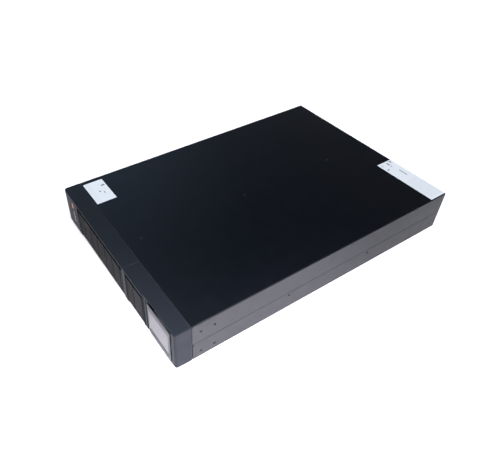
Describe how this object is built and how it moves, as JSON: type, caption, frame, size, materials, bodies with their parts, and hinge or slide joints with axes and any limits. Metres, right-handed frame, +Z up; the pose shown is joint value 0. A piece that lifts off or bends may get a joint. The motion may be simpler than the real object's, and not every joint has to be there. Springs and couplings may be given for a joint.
{
  "type": "uninterruptible power supply",
  "caption": "Low flat rack and tower uninterruptible power supply with a grilled front bezel, a turning display, a battery drawer behind the bezel and a fan-cooled rear panel.",
  "frame": {"origin": "middle of the footprint, on the underside", "axes": "+Z up, the front with its display faces -Y, +X to the right as seen from the front"},
  "size_m": [0.438, 0.6482, 0.0882],
  "materials": {
    "painted_steel_cover": "fine textured blue-black powder coat",
    "painted_steel_side": "fine textured blue-black powder coat",
    "bezel_plastic": "fine spark-eroded slate grey ABS",
    "grille_plastic": "dark grey moulded ABS",
    "badge_metal": "satin, plain",
    "galvanised_steel": "zinc-plated sheet",
    "screw_steel": "zinc-plated",
    "black_screw": "black oxide",
    "label_paper": "white printed film, left blank",
    "battery_case": "dark grey ABS battery case",
    "copper_link": "tinned copper",
    "connector_plastic": "black nylon",
    "cable_red": "insulated lead",
    "knurled_steel": "nickel-plated knurled steel",
    "display_plastic": "light grey moulded ABS",
    "window_clear": "clear window under its protective film",
    "lcd_glass": "unlit liquid crystal panel",
    "circuit_board": "green solder mask",
    "key_rubber": "dark moulded keys",
    "panel_paint": "black powder coat",
    "fan_plastic": "black glass-filled plastic",
    "guard_wire": "nickel-plated wire",
    "socket_plastic": "black thermoplastic",
    "blade_brass": "nickel-plated brass",
    "port_shell": "tinned steel shell",
    "terminal_green": "green terminal block",
    "heatsink_aluminium": "extruded, natural",
    "capacitor_sleeve": "dark blue sleeve",
    "winding_copper": "enamelled copper on a ferrite core",
    "relay_case": "black relay cases",
    "button_plastic": "black reset button"
  },
  "bodies": {
    "chassis": {"battery_bay_wall": "galvanised_steel", "battery_harness": "cable_red", "battery_socket": "connector_plastic", "battery_socket_bracket": "galvanised_steel", "bezel_receptacles": "connector_plastic", "board_standoffs": "screw_steel", "breaker_body": "socket_plastic", "bulk_capacitors": "capacitor_sleeve", "chassis_base": "painted_steel_side", "control_board": "circuit_board", "cover_screws": "black_screw", "display_bezel": "bezel_plastic", "epo_connector": "terminal_green", "external_battery_port": "socket_plastic", "fan_frame_left": "fan_plastic", "fan_frame_right": "fan_plastic", "fan_guards": "guard_wire", "front_subpanel": "panel_paint", "heatsinks": "heatsink_aluminium", "inlet_blades": "blade_brass", "network_jacks": "socket_plastic", "option_slot_cover": "panel_paint", "outlet_bank_lower": "socket_plastic", "outlet_bank_upper": "socket_plastic", "port_board": "circuit_board", "power_board": "circuit_board", "power_inlet": "socket_plastic", "power_transistors": "relay_case", "rack_ear_nuts": "screw_steel", "rating_label": "label_paper", "rear_panel": "panel_paint", "rear_screws": "screw_steel", "relays": "relay_case", "right_grille": "grille_plastic", "serial_port": "port_shell", "top_cover": "painted_steel_cover", "usb_port": "port_shell", "warning_label": "label_paper", "wound_parts": "winding_copper"},
    "battery_cover": {"battery_bezel": "bezel_plastic", "left_grille": "grille_plastic", "front_badge": "badge_metal"},
    "battery_drawer": {"battery_tray": "galvanised_steel", "battery_blocks": "battery_case", "battery_links": "copper_link", "battery_plug": "connector_plastic", "tray_handle": "screw_steel"},
    "thumbscrew_left": {"thumbscrew_left": "knurled_steel"},
    "thumbscrew_right": {"thumbscrew_right": "knurled_steel"},
    "display_slide": {"display_carrier": "fan_plastic"},
    "display": {"display_housing": "display_plastic", "display_window": "window_clear", "lcd_panel": "lcd_glass", "display_board": "circuit_board"},
    "key_left": {"key_left": "key_rubber"},
    "key_middle": {"key_middle": "key_rubber"},
    "key_right": {"key_right": "key_rubber"},
    "breaker_button": {"breaker_button": "button_plastic"},
    "fan_rotor_left": {"fan_rotor_left": "fan_plastic"},
    "fan_rotor_right": {"fan_rotor_right": "fan_plastic"}
  },
  "joints": [
    {"name": "battery_drawer_slide", "type": "slide", "parent": "chassis", "child": "battery_drawer", "axis": [0, -1, 0], "range_m": [0, 0.45]},
    {"name": "battery_cover_pull", "type": "slide", "parent": "chassis", "child": "battery_cover", "axis": [0, -1, 0], "range_m": [0, 0.54]},
    {"name": "thumbscrew_left_turn", "type": "hinge", "parent": "battery_drawer", "child": "thumbscrew_left", "pos_m": [-0.17, -0.28985, 0.079], "axis": [0, 1, 0], "continuous": true},
    {"name": "thumbscrew_right_turn", "type": "hinge", "parent": "battery_drawer", "child": "thumbscrew_right", "pos_m": [-0.032, -0.28985, 0.079], "axis": [0, 1, 0], "continuous": true},
    {"name": "display_pull", "type": "slide", "parent": "chassis", "child": "display_slide", "axis": [0, -1, 0], "range_m": [0, 0.012]},
    {"name": "display_turn", "type": "hinge", "parent": "display_slide", "child": "display", "pos_m": [0.1718, -0.32085, 0.047], "axis": [0, 1, 0], "range_deg": [0, 90]},
    {"name": "key_left_press", "type": "slide", "parent": "display", "child": "key_left", "axis": [0, 1, 0], "range_m": [0, 0.0004], "stiffness_N_per_m": 600},
    {"name": "key_middle_press", "type": "slide", "parent": "display", "child": "key_middle", "axis": [0, 1, 0], "range_m": [0, 0.0004], "stiffness_N_per_m": 600},
    {"name": "key_right_press", "type": "slide", "parent": "display", "child": "key_right", "axis": [0, 1, 0], "range_m": [0, 0.0004], "stiffness_N_per_m": 600},
    {"name": "breaker_trip", "type": "slide", "parent": "chassis", "child": "breaker_button", "axis": [0, 1, 0], "range_m": [0, 0.003]},
    {"name": "fan_left_spin", "type": "hinge", "parent": "chassis", "child": "fan_rotor_left", "pos_m": [0.078, 0.29915, 0.044], "axis": [0, 1, 0], "continuous": true},
    {"name": "fan_right_spin", "type": "hinge", "parent": "chassis", "child": "fan_rotor_right", "pos_m": [0.165, 0.29915, 0.044], "axis": [0, 1, 0], "continuous": true}
  ],
  "couplings": [
    {"joint": "battery_cover_pull", "follows": "battery_drawer_slide", "ratio": 1.2}
  ]
}
